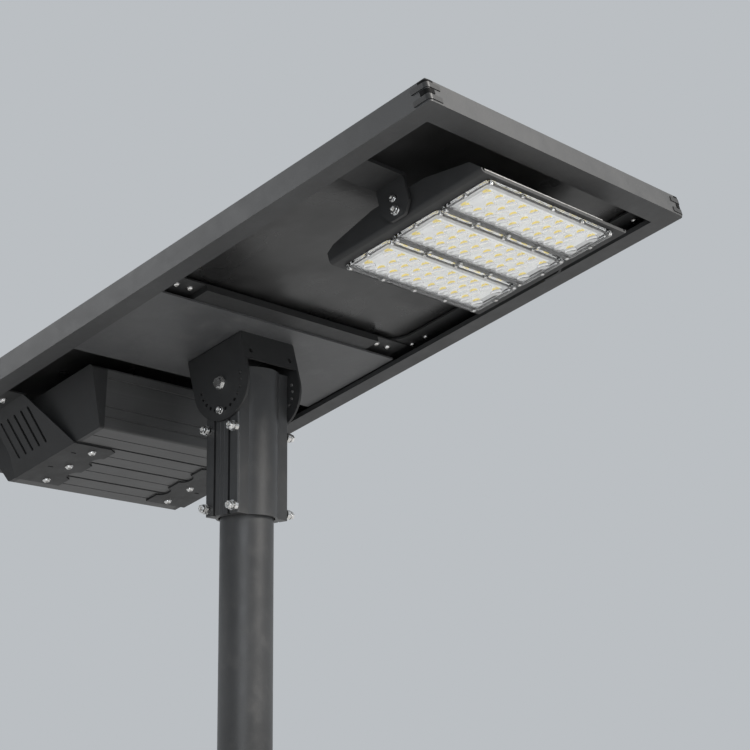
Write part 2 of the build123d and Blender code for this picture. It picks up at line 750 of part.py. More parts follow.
def lens(y):
    """Clear lens plate of one module: flat rim, raised field and 28 small domes."""
    rim_low = lens_low
    field_t = 1.6
    dome_h = 3.4
    with BuildPart() as plate:
        with BuildSketch(Plane.XY.offset(rim_low)):
            with Locations((0, y)):
                RectangleRounded(lens_l, lens_w, 9)
            with Locations(*[(x, y + dy) for x, dy in lens_spots]):
                Circle(lens_screw_r + slip, mode=Mode.SUBTRACT)
        extrude(amount=lens_t)
        with BuildSketch(Plane.XY.offset(rim_low)):
            with Locations((0, y)):
                RectangleRounded(lens_l - 22, lens_w - 18, 6)
        extrude(amount=-field_t)
        with BuildSketch(Plane.XY.offset(rim_low - field_t)):
            with Locations(*[(x, y + dy) for x, dy in led_spots]):
                Circle(8.4)
        extrude(amount=-dome_h, taper=28)
        with BuildSketch(Plane.XY.offset(rim_low + lens_t - 2.2)):
            with Locations((0, y)):
                RectangleRounded(lens_l - 26, lens_w - 22, 5)
        extrude(amount=2.2, mode=Mode.SUBTRACT)
    return plate.part


for index, y in enumerate(module_ys):
    save(heatsink(y), f"module_{index + 1}_heatsink", head_place)
    save(lens(y), f"module_{index + 1}_lens", head_place)

with BuildPart() as module_gaskets:
    for y in module_ys:
        with BuildSketch(Plane.XY.offset(tray_z - gasket_t)):
            with Locations((0, y)):
                RectangleRounded(lens_l - 2, lens_w - 2, 8)
                Rectangle(window_l + 1, window_w + 1, mode=Mode.SUBTRACT)
            with Locations(*[(x, y + dy) for x, dy in lens_spots]):
                Circle(lens_screw_r + slip, mode=Mode.SUBTRACT)
        extrude(amount=gasket_t)
save(module_gaskets.part, "module_gaskets", head_place)

with BuildPart() as module_boards:
    with BuildSketch(Plane.XY.offset(sink_low - pcb_t)):
        with Locations(*[(0, y) for y in module_ys]):
            RectangleRounded(window_l - 6, window_w - 4, 3)
    extrude(amount=pcb_t)
save(module_boards.part, "module_boards", head_place)

with BuildPart() as led_chips:
    with BuildSketch(Plane.XY.offset(sink_low - pcb_t - chip_t)):
        with Locations(*[(x, y + dy) for y in module_ys for x, dy in led_spots]):
            Rectangle(chip, chip)
    extrude(amount=chip_t)
save(led_chips.part, "led_chips", head_place)

lens_reach = lens_t + gasket_t + tray_t + sink_t - 1.5
save(upright_screws(all_lens_spots, lens_low, 2.8, 1.8, lens_screw_r, lens_reach), "lens_screws", head_place)

# ==================== battery box ====================
battery_shape = [
    (battery_mid - battery_top_half, battery_top_z),
    (battery_mid + battery_top_half, battery_top_z),
    (battery_mid + battery_low_half, battery_low_z),
    (battery_mid - battery_low_half, battery_low_z),
]
slant = (battery_top_half - battery_low_half) / (battery_top_z - battery_low_z)
ridge_zs = (40.0, 2.0, -12.0)
deep_groove_ys = [battery_mid + step * 51.5 for step in (-1, 0, 1)]
fine_line_ys = [battery_mid + step * 25.75 for step in (-3, -1, 1, 3)]
strap_screw_r = 3.0
bottom_spots = points_both(strap_screw_x, strap_screw_y)
with BuildPart() as battery_housing:
    with BuildSketch(Plane.YZ.offset(-battery_half_l)):
        with BuildSketch(mode=Mode.PRIVATE) as skin:
            with BuildLine():
                Polyline(*battery_shape, close=True)
            make_face()
            fillet(skin.vertices(), 4)
            offset(amount=-battery_wall, mode=Mode.SUBTRACT)
        add(skin.sketch)
        for z in ridge_zs:
            reach = battery_low_half + (z - battery_low_z) * slant
            with Locations((battery_mid - reach, z), (battery_mid + reach, z)):
                Circle(1.3, mode=Mode.SUBTRACT)
        with Locations(*[(y, battery_low_z) for y in deep_groove_ys]):
            Rectangle(4, 3.4, mode=Mode.SUBTRACT)
        with Locations(*[(y, battery_low_z) for y in fine_line_ys]):
            Rectangle(1.6, 1.6, mode=Mode.SUBTRACT)
    extrude(amount=2 * battery_half_l)
    with BuildSketch(Plane.XY.offset(battery_low_z - 1)):
        with Locations(*bottom_spots):
            Circle(strap_screw_r + running_gap)
    extrude(amount=battery_wall + 2, mode=Mode.SUBTRACT)
save(battery_housing.part, "battery_housing", head_place)

cap_low_x = strap_low_x - 1.5
cap_top_x = 188.0
lip_depth = 5.0


def battery_cap(side):
    """End cap with a sloping outer face and a lip inside the housing."""
    with BuildPart() as cap:
        with BuildSketch(Plane.YZ.offset(min(side * battery_half_l, side * cap_top_x))):
            with BuildSketch(mode=Mode.PRIVATE) as face:
                with BuildLine():
                    Polyline(*battery_shape, close=True)
                make_face()
                fillet(face.vertices(), 4)
            add(face.sketch)
        extrude(amount=cap_top_x - battery_half_l)
        with BuildSketch(Plane.XZ.offset(-battery_mid)):
            with BuildLine():
                Polyline(
                    (side * cap_low_x, battery_low_z - 2),
                    (side * cap_low_x, battery_low_z),
                    (side * cap_top_x, battery_top_z),
                    (side * (cap_top_x + 2), battery_top_z + 2),
                    (side * (cap_top_x + 20), battery_low_z - 2),
                    close=True,
                )
            make_face()
        extrude(amount=battery_top_half + 10, both=True, mode=Mode.SUBTRACT)
        with BuildSketch(Plane.YZ.offset(side * (battery_half_l - lip_depth))):
            with BuildSketch(mode=Mode.PRIVATE) as ring:
                with BuildLine():
                    Polyline(*battery_shape, close=True)
                make_face()
                fillet(ring.vertices(), 4)
                offset(amount=-(battery_wall + slip))
            add(ring.sketch)
            with BuildSketch(mode=Mode.PRIVATE) as core:
                with BuildLine():
                    Polyline(*battery_shape, close=True)
                make_face()
                fillet(core.vertices(), 4)
                offset(amount=-(2 * battery_wall + slip))
            add(core.sketch, mode=Mode.SUBTRACT)
        extrude(amount=side * lip_depth)
    return cap.part


save(battery_cap(-1), "battery_cap_left", head_place)
save(battery_cap(1), "battery_cap_right", head_place)
cell_r = 16.0
cell_len = 68.0
cell_floor = battery_low_z + battery_wall
with BuildPart() as battery_cells:
    for column in range(4):
        with BuildSketch(Plane.YZ.offset(-146 + column * 73)):
            with Locations((battery_mid, cell_floor + cell_r)):
                with GridLocations(34, 1, 5, 1):
                    Circle(cell_r)
        extrude(amount=cell_len)
save(battery_cells.part, "battery_cells", head_place)
board_z = cell_floor + 2 * cell_r
with BuildPart() as charge_controller:
    with BuildSketch(Plane.XY.offset(board_z)):
        with Locations((0, battery_mid)):
            Rectangle(150, 90)
    extrude(amount=pcb_t)
    with BuildSketch(Plane.XY.offset(board_z + pcb_t)):
        with Locations((-40, battery_mid), (35, battery_mid - 15)):
            Rectangle(40, 30)
    extrude(amount=14)
save(charge_controller.part, "charge_controller", head_place)

# ==================== battery straps ====================
strap_t = 2.5
strap_y0 = 190.0
strap_y1 = 322.0
strap_top_y0 = 232.0
strap_top_y1 = 310.0
strap_in_x = 88.0
strap_out_x = 245.0
strap_low = battery_low_z - strap_t
slope_x = strap_top_x - strap_low_x
slope_z = ledge_z - battery_low_z
slope_l = math.hypot(slope_x, slope_z)
slot_count = 5
slot_pitch = 15.0


def battery_strap(side):
    """Bent strap: flange under the side strip, sloping slotted plate, flange under the box."""
    lean = strap_t * slope_l / slope_z
    bend_x = strap_low_x + lean - strap_t * slope_x / slope_z
    top_bend_x = strap_top_x + lean - strap_t * slope_x / slope_z
    with BuildPart() as strap:
        with BuildSketch(Plane.XZ.offset(-strap_y1)):
            with BuildLine():
                Polyline(
                    (side * strap_in_x, strap_low),
                    (side * bend_x, strap_low),
                    (side * top_bend_x, ledge_z - strap_t),
                    (side * strap_out_x, ledge_z - strap_t),
                    (side * strap_out_x, ledge_z),
                    (side * strap_top_x, ledge_z),
                    (side * strap_low_x, battery_low_z),
                    (side * strap_in_x, battery_low_z),
                    close=True,
                )
            make_face()
        extrude(amount=strap_y1 - strap_y0)
        with BuildSketch(Plane.YZ.offset(min(side * 160, side * 260))):
            with BuildLine():
                Polyline(
                    (strap_y0 - 5, battery_low_z),
                    (strap_y0, battery_low_z),
                    (strap_top_y0, ledge_z - strap_t),
                    (strap_top_y0, ledge_z + 5),
                    (strap_y0 - 5, ledge_z + 5),
                    close=True,
                )
            make_face()
            with BuildLine():
                Polyline(
                    (strap_y1 + 5, battery_low_z),
                    (strap_y1, battery_low_z),
                    (strap_top_y1, 0),
                    (strap_top_y1, ledge_z + 5),
                    (strap_y1 + 5, ledge_z + 5),
                    close=True,
                )
            make_face()
        extrude(amount=100, mode=Mode.SUBTRACT)
        centre_x = side * (strap_low_x + strap_top_x) / 2
        centre_z = (battery_low_z + ledge_z) / 2
        sloping = Plane(
            origin=(centre_x, 266, centre_z),
            x_dir=(0, 1, 0),
            z_dir=(side * slope_z / slope_l, 0, -slope_x / slope_l),
        )
        with BuildSketch(sloping):
            with GridLocations(slot_pitch, 1, slot_count, 1):
                SlotOverall(58, 4, rotation=90)
        extrude(amount=8, both=True, mode=Mode.SUBTRACT)
        with BuildSketch(Plane.XY.offset(strap_low - 1)):
            with Locations(*[(side * strap_screw_x, y) for y in strap_screw_y]):
                Circle(strap_screw_r + slip)
            with Locations(*[(side * 147, y + 11) for y in strap_screw_y[:2]]):
                SlotOverall(10, 2.4)
            with Locations(*[(side * strap_in_x, y - 25) for y in strap_screw_y]):
                Circle(13)
        extrude(amount=strap_t + 2, mode=Mode.SUBTRACT)
        with BuildSketch(Plane.XY.offset(ledge_z - strap_t - 1)):
            with Locations(*[(side * strap_top_screw_x, y) for y in strap_top_ys]):
                Circle(strap_screw_r + slip)
        extrude(amount=strap_t + 2, mode=Mode.SUBTRACT)
        outer_corners = strap.edges().filter_by(Axis.Z).group_by(Axis.X)[0 if side < 0 else -1]
        fillet(outer_corners, 9)
    return strap.part


save(battery_strap(-1), "battery_strap_left", head_place)
save(battery_strap(1), "battery_strap_right", head_place)
low_screws = upright_screws(bottom_spots, strap_low, 6, 4.2, strap_screw_r, strap_t + battery_wall)
top_spots = points_both(strap_top_screw_x, strap_top_ys)
top_screws = upright_screws(top_spots, ledge_z - strap_t, 6, 4.2, strap_screw_r, strap_t + sheet_t + 5)
save(Compound(children=[*low_screws.solids(), *top_screws.solids()]), "strap_screws", head_place)
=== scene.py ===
import math

import bmesh
import bpy
from mathutils import Matrix, Vector


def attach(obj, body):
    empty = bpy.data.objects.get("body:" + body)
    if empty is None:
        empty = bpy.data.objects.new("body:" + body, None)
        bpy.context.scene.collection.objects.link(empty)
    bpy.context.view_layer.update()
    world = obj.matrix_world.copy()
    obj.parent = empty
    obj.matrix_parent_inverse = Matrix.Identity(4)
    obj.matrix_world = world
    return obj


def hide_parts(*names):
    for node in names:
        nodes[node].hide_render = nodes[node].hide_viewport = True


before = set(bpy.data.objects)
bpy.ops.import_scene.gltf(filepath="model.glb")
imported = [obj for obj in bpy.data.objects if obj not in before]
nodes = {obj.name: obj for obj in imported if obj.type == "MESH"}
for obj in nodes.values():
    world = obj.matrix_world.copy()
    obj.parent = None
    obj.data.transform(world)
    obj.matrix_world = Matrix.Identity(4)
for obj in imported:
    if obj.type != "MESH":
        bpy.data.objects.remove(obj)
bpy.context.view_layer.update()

MM = 0.001
LENS_MID_Y, LENS_PITCH = -438.7, 81.7
BOARD_HALF_L, BOARD_HALF_W = 0.118, 0.025
PIVOT = Vector((0.0, 0.0, 0.7))
PANEL_TILT = math.radians(15)
HEAD = Matrix.Translation(PIVOT) @ Matrix.Rotation(-PANEL_TILT, 4, "X")
HEAD_BACK = HEAD.inverted()


# ==================== node graphs ====================
class Graph:
    """One procedural material; every pattern uses the object's own coordinates in metres."""

    def __init__(self, name):
        self.mat = bpy.data.materials.new(name)
        self.mat.use_nodes = True
        self.tree = self.mat.node_tree
        self.bsdf = self.tree.nodes["Principled BSDF"]
        self.coord = self.node("ShaderNodeTexCoord").outputs["Object"]

    def node(self, kind, **values):
        made = self.tree.nodes.new(kind)
        for key, value in values.items():
            setattr(made, key, value)
        return made

    def link(self, a, b):
        self.tree.links.new(a, b)

    def put(self, **values):
        for key, value in values.items():
            self.bsdf.inputs[key.replace("_", " ")].default_value = value

    def mapped(self, scale=(1, 1, 1), source=None):
        step = self.node("ShaderNodeMapping")
        step.inputs["Scale"].default_value = scale
        self.link(source or self.coord, step.inputs["Vector"])
        return step.outputs["Vector"]

    def head_coord(self):
        """Coordinates square to the panel, with their origin on the tilt pivot."""
        step = self.node("ShaderNodeMapping")
        place = HEAD_BACK
        step.inputs["Rotation"].default_value = place.to_euler()
        step.inputs["Location"].default_value = place.translation
        self.link(self.coord, step.inputs["Vector"])
        return step.outputs["Vector"]

    def noise(self, scale, detail=2.0, rough=0.5, vector=None):
        tex = self.node("ShaderNodeTexNoise")
        tex.inputs["Scale"].default_value = scale
        tex.inputs["Detail"].default_value = detail
        tex.inputs["Roughness"].default_value = rough
        self.link(vector or self.coord, tex.inputs["Vector"])
        return tex.outputs["Fac"]

    def math(self, operation, a, b=None, c=None):
        step = self.node("ShaderNodeMath", operation=operation)
        for socket, value in zip(step.inputs, (a, b, c)):
            if value is None:
                continue
            if isinstance(value, (int, float)):
                socket.default_value = value
            else:
                self.link(value, socket)
        return step.outputs[0]

    def remap(self, fac, low, high, from_low=0.0, from_high=1.0):
        step = self.node("ShaderNodeMapRange")
        limits = {"From Min": from_low, "From Max": from_high, "To Min": low, "To Max": high}
        for name, value in limits.items():
            step.inputs[name].default_value = value
        self.link(fac, step.inputs["Value"])
        return step.outputs[0]

    def ramp(self, fac, stops):
        step = self.node("ShaderNodeValToRGB")
        step.color_ramp.elements[0].position = stops[0][0]
        step.color_ramp.elements[0].color = (*stops[0][1], 1)
        step.color_ramp.elements[1].position = stops[-1][0]
        step.color_ramp.elements[1].color = (*stops[-1][1], 1)
        for place, color in stops[1:-1]:
            step.color_ramp.elements.new(place).color = (*color, 1)
        self.link(fac, step.inputs["Fac"])
        return step.outputs["Color"]

    def mix(self, fac, a, b):
        step = self.node("ShaderNodeMix", data_type="RGBA")
        for socket, value in ((step.inputs["Factor"], fac), (step.inputs["A"], a), (step.inputs["B"], b)):
            if isinstance(value, (int, float)):
                socket.default_value = value
            elif isinstance(value, tuple):
                socket.default_value = (*value, 1)
            else:
                self.link(value, socket)
        return step.outputs["Result"]

    def bump(self, height, strength, distance, normal=None):
        step = self.node("ShaderNodeBump")
        step.inputs["Strength"].default_value = strength
        step.inputs["Distance"].default_value = distance
        self.link(height, step.inputs["Height"])
        if normal:
            self.link(normal, step.inputs["Normal"])
        return step.outputs["Normal"]

    def set(self, **sockets):
        for key, value in sockets.items():
            self.link(value, self.bsdf.inputs[key.replace("_", " ")])


def grey(value, tint=(1.0, 1.0, 1.0)):
    return tuple(value * t for t in tint)


def powder_coat(name, base, rough, dust=0.25, tint=(0.98, 1.0, 1.03)):
    """Textured polyester powder coat: fine grain, orange peel, faint handling marks and dust."""
    g = Graph(name)
    cloud = g.noise(7.0, 5.0, 0.6)
    speck = g.noise(900.0, 2.0, 0.6)
    smear = g.noise(38.0, 4.0, 0.62)
    tone = g.ramp(cloud, [(0.3, grey(base * 0.82, tint)), (0.7, grey(base * 1.2, tint))])
    flecked = g.mix(g.remap(speck, 0.0, 0.35, 0.56, 0.74), tone, grey(base * 2.1, tint))
    dusty = g.mix(g.remap(smear, 0.0, dust, 0.52, 0.8), flecked, grey(base * 2.6, (1.04, 1.0, 0.94)))
    g.set(Base_Color=dusty)
    handled = g.remap(smear, rough - 0.05, rough + 0.1, 0.3, 0.75)
    g.set(Roughness=g.math("ADD", handled, g.remap(speck, -0.03, 0.03)))
    peel = g.bump(g.noise(260.0, 1.0), 0.12, 0.0006)
    g.set(Normal=g.bump(speck, 0.22, 0.00025, peel))
    g.put(Specular_IOR_Level=0.45)
    return g.mat


def edge_wear_and_highlight(name, base):
    """Coat on a folded or cut edge: thinner, smoother, rubbed through in places, and lighter along every
    bevelled edge as a painted highlight.
    """
    g = Graph(name)
    rub_and_highlight = g.noise(120.0, 4.0, 0.7)
    # The lighter tones all along the edge are a painted highlight. The pale 0.28 spots are rubbed-through
    # wear.
    g.set(Base_Color=g.ramp(rub_and_highlight, [(0.45, grey(base * 1.3)), (0.7, grey(base * 2.4)), (0.86, grey(0.28))]))
    g.set(Roughness=g.remap(rub_and_highlight, 0.3, 0.45))
    g.set(Normal=g.bump(g.noise(700.0), 0.15, 0.0002))
    return g.mat


def extruded(name, base, rough):
    """Anodised extrusion with die lines along the box's length."""
    g = Graph(name)
    square = g.head_coord()
    lines = g.noise(1.0, 3.0, 0.65, g.mapped((3.0, 900.0, 900.0), square))
    cloud = g.noise(11.0, 4.0, 0.6)
    tone = g.ramp(cloud, [(0.3, grey(base * 0.85)), (0.7, grey(base * 1.18))])
    g.set(Base_Color=g.mix(g.remap(lines, 0.0, 0.4, 0.5, 0.8), tone, grey(base * 1.9)))
    g.set(Roughness=g.remap(lines, rough - 0.07, rough + 0.09, 0.25, 0.75))
    g.set(Normal=g.bump(lines, 0.2, 0.0003, g.bump(g.noise(600.0), 0.1, 0.0002)))
    return g.mat


def moulded(name, base, rough, specular=0.5):
    """Moulded black plastic with a fine spark-eroded grain."""
    g = Graph(name)
    grain = g.noise(1300.0, 2.0, 0.6)
    g.set(Base_Color=g.ramp(g.noise(30.0, 3.0), [(0.3, grey(base * 0.8)), (0.75, grey(base * 1.5))]))
    g.set(Roughness=g.remap(grain, rough - 0.06, rough + 0.1, 0.3, 0.7))
    g.set(Normal=g.bump(grain, 0.3, 0.0002))
    g.put(Specular_IOR_Level=specular)
    return g.mat


def steel(name, base, rough, scale=1500.0):
    """Stainless or plain metal with fine turning marks and slight staining."""
    g = Graph(name)
    lines = g.noise(1.0, 3.0, 0.7, g.mapped((scale, scale * 0.08, scale)))
    stain = g.noise(160.0, 3.0, 0.6)
    g.set(Base_Color=g.ramp(stain, [(0.3, grey(base * 0.72, (1.0, 0.98, 0.94))), (0.62, grey(base))]))
    g.set(Roughness=g.remap(lines, rough - 0.06, rough + 0.12))
    g.set(Normal=g.bump(lines, 0.12, 0.0001))
    g.put(Metallic=1.0)
    return g.mat


def line_mask(g, value, pitch, shift, width):
    """1 on thin lines every pitch metres, 0 between them."""
    turn = g.math("FRACT", g.math("DIVIDE", g.math("SUBTRACT", value, shift), pitch))
    apart = g.math("ABSOLUTE", g.math("SUBTRACT", turn, 0.5))
    return g.math("GREATER_THAN", apart, 0.5 - width / pitch / 2)


CELL_PITCH = (0.085, 0.168)
PANEL_MID_Y = -0.066


def silicon(name):
    """Monocrystalline half cells: printed fingers across, wire busbars along, slight tone changes."""
    g = Graph(name)
    split = g.node("ShaderNodeSeparateXYZ")
    g.link(g.head_coord(), split.inputs[0])
    x, y = split.outputs["X"], split.outputs["Y"]
    cloud = g.noise(16.0, 4.0, 0.6)
    tone = g.ramp(cloud, [(0.3, (0.006, 0.0075, 0.013)), (0.7, (0.011, 0.013, 0.021))])
    fingers = line_mask(g, y, 0.0014, 0.0, 0.00016)
    bars = line_mask(g, x, CELL_PITCH[0] / 5, CELL_PITCH[0] / 10, 0.00055)
    printed = g.mix(g.math("MULTIPLY", fingers, 0.3), tone, (0.1, 0.11, 0.13))
    marked = g.mix(g.math("MULTIPLY", bars, 0.45), printed, (0.3, 0.31, 0.33))
    across = line_mask(g, x, CELL_PITCH[0], 0.0, 0.0042)
    along = line_mask(g, y, CELL_PITCH[1], PANEL_MID_Y, 0.0042)
    g.set(Base_Color=g.mix(g.math("MAXIMUM", across, along), marked, (0.62, 0.64, 0.66)))
    g.set(Roughness=g.remap(cloud, 0.24, 0.36))
    g.set(Metallic=g.math("MULTIPLY", bars, 0.8))
    g.set(Normal=g.bump(g.math("MAXIMUM", fingers, bars), 0.3, 0.0001))
    return g.mat


def clear(name, tint, rough, alpha, ior=1.5):
    """Thin clear sheet shown by its reflections."""
    g = Graph(name)
    ripple = g.noise(55.0, 2.0)
    g.set(Normal=g.bump(ripple, 0.05, 0.0004))
    g.set(Roughness=g.remap(g.noise(20.0, 3.0), rough, rough + 0.04))
    g.put(Base_Color=(*tint, 1.0), Alpha=alpha, IOR=ior)
    return g.mat


def lens_plastic(name):
    """Clear polycarbonate that bends light, with a faint moulding haze."""
    g = Graph(name)
    haze = g.noise(140.0, 3.0, 0.6)
    g.set(Roughness=g.remap(haze, 0.015, 0.07, 0.35, 0.75))
    g.set(Normal=g.bump(g.noise(320.0, 1.0), 0.05, 0.0003))
    g.put(Base_Color=(0.97, 0.98, 0.985, 1.0), Transmission_Weight=1.0, IOR=1.3)
    return g.mat


def board(name):
    """White solder mask with faint copper tracks under it, and a faint painted glow that stands in for
    light reaching it through the lens.
    """
    g = Graph(name)
    split = g.node("ShaderNodeSeparateXYZ")
    g.link(g.head_coord(), split.inputs[0])
    tracks = line_mask(g, split.outputs["Y"], 0.0087, 0.002, 0.0007)
    shade = g.ramp(g.noise(60.0, 3.0), [(0.3, (0.74, 0.75, 0.76)), (0.7, (0.86, 0.87, 0.87))])
    turns = g.math("DIVIDE", g.math("SUBTRACT", split.outputs["Y"], LENS_MID_Y * MM), LENS_PITCH * MM)
    row = g.math("FRACT", g.math("ADD", turns, 0.5))
    off_row = g.math("MULTIPLY", g.math("ABSOLUTE", g.math("SUBTRACT", row, 0.5)), LENS_PITCH * MM)
    off_mid = g.math("SUBTRACT", g.math("ABSOLUTE", split.outputs["X"]), BOARD_HALF_L - BOARD_HALF_W)
    rim_in, rim_out = BOARD_HALF_W - 0.0007, BOARD_HALF_W + 0.0012
    rim = g.remap(g.math("MAXIMUM", off_row, off_mid), 0.0, 1.0, rim_in, rim_out)
    marked = g.mix(g.math("MULTIPLY", tracks, 0.35), shade, (0.55, 0.57, 0.58))
    g.set(Base_Color=g.mix(rim, marked, (0.3, 0.31, 0.32)))
    g.set(Roughness=g.remap(g.noise(500.0), 0.22, 0.36))
    g.set(Normal=g.bump(tracks, 0.25, 0.0002))
    # Painted glow: a board is no lamp. This faint emission brightens it as if light reached it through the
    # lens. The charge controller shares this material and glows too.
    g.put(Emission_Color=(1.0, 0.98, 0.95, 1.0), Emission_Strength=0.24)
    return g.mat


def phosphor(name):
    """Soft yellow silicone over the chips, with a faint painted glow that stands in for light reaching
    them through the lens.
    """
    g = Graph(name)
    grain = g.noise(1800.0, 2.0, 0.6)
    g.set(Base_Color=g.ramp(grain, [(0.3, (0.83, 0.62, 0.1)), (0.7, (0.93, 0.76, 0.22))]))
    g.set(Roughness=g.remap(grain, 0.3, 0.45))
    g.set(Normal=g.bump(grain, 0.2, 0.0001))
    # Painted glow: this faint emission brightens the phosphor as if light reached it through the lens.
    g.put(Emission_Color=(1.0, 0.82, 0.3, 1.0), Emission_Strength=0.3)
    return g.mat


def foil(name):
    """Black backsheet: slightly glossy film with shallow waves and cell ghosts."""
    g = Graph(name)
    split = g.node("ShaderNodeSeparateXYZ")
    g.link(g.head_coord(), split.inputs[0])
    across = line_mask(g, split.outputs["X"], CELL_PITCH[0], 0.0, 0.002)
    along = line_mask(g, split.outputs["Y"], CELL_PITCH[1], PANEL_MID_Y, 0.002)
    ghost = g.math("MAXIMUM", across, along)
    wave = g.noise(13.0, 2.0)
    g.set(Base_Color=g.ramp(g.noise(40.0, 4.0), [(0.3, grey(0.007)), (0.7, grey(0.013))]))
    g.set(Roughness=g.remap(wave, 0.24, 0.4, 0.3, 0.7))
    g.set(Normal=g.bump(ghost, 0.12, 0.0003, g.bump(wave, 0.25, 0.004)))
    return g.mat


def wrap(name):
    """Blue heat-shrink sleeve."""
    g = Graph(name)
    g.set(Base_Color=g.ramp(g.noise(80.0, 3.0), [(0.3, (0.01, 0.07, 0.16)), (0.7, (0.015, 0.1, 0.22))]))
    g.set(Roughness=g.remap(g.noise(400.0), 0.25, 0.4))
    return g.mat


COAT = powder_coat("coat_frame", 0.014, 0.55, 0.12)
RAIL_COAT = powder_coat("coat_rails", 0.03, 0.5, 0.12)
COAT_EDGE_WEAR_HIGHLIGHT = edge_wear_and_highlight("coat_frame_edge_wear_highlight", 0.022)
POLE_COAT = powder_coat("coat_pole", 0.028, 0.4, 0.25)
PLATE_COAT = powder_coat("coat_plate", 0.06, 0.47, 0.2)
BOX_COAT = extruded("box_extrusion", 0.045, 0.42)
CAP_COAT = powder_coat("coat_box_cap", 0.012, 0.45, 0.12)
BLACK = moulded("black_plastic", 0.009, 0.42)
BAND = moulded("black_band", 0.003, 0.6, specular=0.08)
SEAL = moulded("seal_rubber", 0.014, 0.6)
BRIGHT = steel("stainless", 0.74, 0.22)
SINK = steel("heatsink_aluminium", 0.66, 0.36, 700.0)
SILICON = silicon("silicon_cells")
TOP_GLASS = clear("panel_glass", (0.015, 0.02, 0.025), 0.05, 0.16)
LENS = lens_plastic("lens_polycarbonate")
BOARD = board("led_board")
CHIP = phosphor("led_phosphor")
FOIL = foil("backsheet_film")
WRAP = wrap("cell_wrap")

NODE_LOOK = {
    "backsheet": FOIL, "battery_cap_left": CAP_COAT, "battery_cap_right": CAP_COAT, "battery_cells": WRAP,
    "battery_housing": BOX_COAT, "battery_strap_left": COAT, "battery_strap_right": COAT,
    "bay_strip_left": COAT, "bay_strip_right": COAT, "charge_controller": BOARD, "clevis_bracket": COAT,
    "corner_key_front_left": BLACK, "corner_key_front_right": BLACK, "corner_key_rear_left": BLACK,
    "corner_key_rear_right": BLACK, "crossbar_front": COAT, "crossbar_rear": COAT, "junction_box": BLACK,
    "led_bracket_left": COAT, "led_bracket_right": COAT, "led_chips": CHIP, "light_tray": COAT,
    "module_1_heatsink": SINK, "module_2_heatsink": SINK, "module_3_heatsink": SINK,
    "module_1_lens": LENS, "module_2_lens": LENS, "module_3_lens": LENS, "module_boards": BOARD,
    "module_gaskets": SEAL, "mounting_plate": PLATE_COAT, "pivot_washers": BRIGHT, "pole_plug": BLACK,
    "pole_section": POLE_COAT, "pole_sleeve": POLE_COAT, "rail_front": RAIL_COAT, "rail_left": RAIL_COAT,
    "rail_rear": RAIL_COAT, "rail_right": RAIL_COAT, "rear_strip_left": COAT, "rear_strip_right": COAT,
    "solar_cells": SILICON, "solar_glass": TOP_GLASS, "tray_spacers_nuts": BRIGHT,
}
SOFT_EDGES = {
    "pole_sleeve": 0.6, "clevis_bracket": 0.5, "rail_front": 0.5, "rail_left": 0.5, "rail_rear": 0.5,
    "rail_right": 0.5, "battery_cap_left": 0.8, "battery_cap_right": 0.8, "battery_strap_left": 0.4,
    "battery_strap_right": 0.4, "mounting_plate": 0.5, "crossbar_front": 0.4,
    "crossbar_rear": 0.4, "bay_strip_left": 0.4, "bay_strip_right": 0.4, "led_bracket_left": 0.5,
    "led_bracket_right": 0.5, "junction_box": 1.2, "battery_housing": 0.3,
}


def dress(obj, material):
    obj.data.materials.clear()
    obj.data.materials.append(material)


for node, material in NODE_LOOK.items():
    dress(nodes[node], material)
for node, width in SOFT_EDGES.items():
    nodes[node].data.materials.append(COAT_EDGE_WEAR_HIGHLIGHT)
    bevel = nodes[node].modifiers.new("soft_edges", "BEVEL")
    bevel.width = width * MM
    bevel.segments = 2
    bevel.limit_method = "ANGLE"
    bevel.angle_limit = math.radians(40)
    bevel.use_clamp_overlap = True
    # The bevel faces take the edge material: rubbed-through wear plus a painted highlight along every
    # edge.
    bevel.material = 1
    bevel.harden_normals = True


# ==================== mesh helpers ====================
def finish_mesh(name, build, material, body, replaced=(), smooth_angle=35):
    """Turns a bmesh into a piece that rides on a body."""
    bmesh.ops.recalc_face_normals(build, faces=build.faces)
    mesh = bpy.data.meshes.new(name)
    build.to_mesh(mesh)
    build.free()
    obj = bpy.data.objects.new(name, mesh)
    bpy.context.scene.collection.objects.link(obj)
    mesh.materials.append(material)
    mesh.shade_smooth()
    mesh.set_sharp_from_angle(angle=math.radians(smooth_angle))
    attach(obj, body)
    if replaced:
        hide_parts(*replaced)
    return obj


def lathe(build, profile, segments, place):
    """Turns (radius, height) points about Z; a radius of zero closes an end."""
    rings = []
    for radius, height in profile:
        if radius < 1e-9:
            rings.append([build.verts.new(place @ Vector((0, 0, height)))])
            continue
        ring = []
        for i in range(segments):
            turn = 2 * math.pi * i / segments
            spot = Vector((radius * math.cos(turn), radius * math.sin(turn), height))
            ring.append(build.verts.new(place @ spot))
        rings.append(ring)
    for low, high in zip(rings, rings[1:]):
        for i in range(segments):
            j = (i + 1) % segments
            corners = [low[i % len(low)], low[j % len(low)], high[j % len(high)], high[i % len(high)]]
            unique = list(dict.fromkeys(corners))
            if len(unique) > 2:
                build.faces.new(unique)


def thread(radius, start, end, pitch=1.25 * MM):
    """Profile of a threaded shank from start to end."""
    points = [(radius * 0.86, start)]
    turns = max(1, int(abs(end - start) / pitch))
    step = (end - start) / turns
    for i in range(turns):
        points.append((radius, start + step * (i + 0.4)))
        points.append((radius * 0.86, start + step * (i + 0.9)))
    points.append((radius * 0.78, end))
    points.append((0.0, end))
    return points


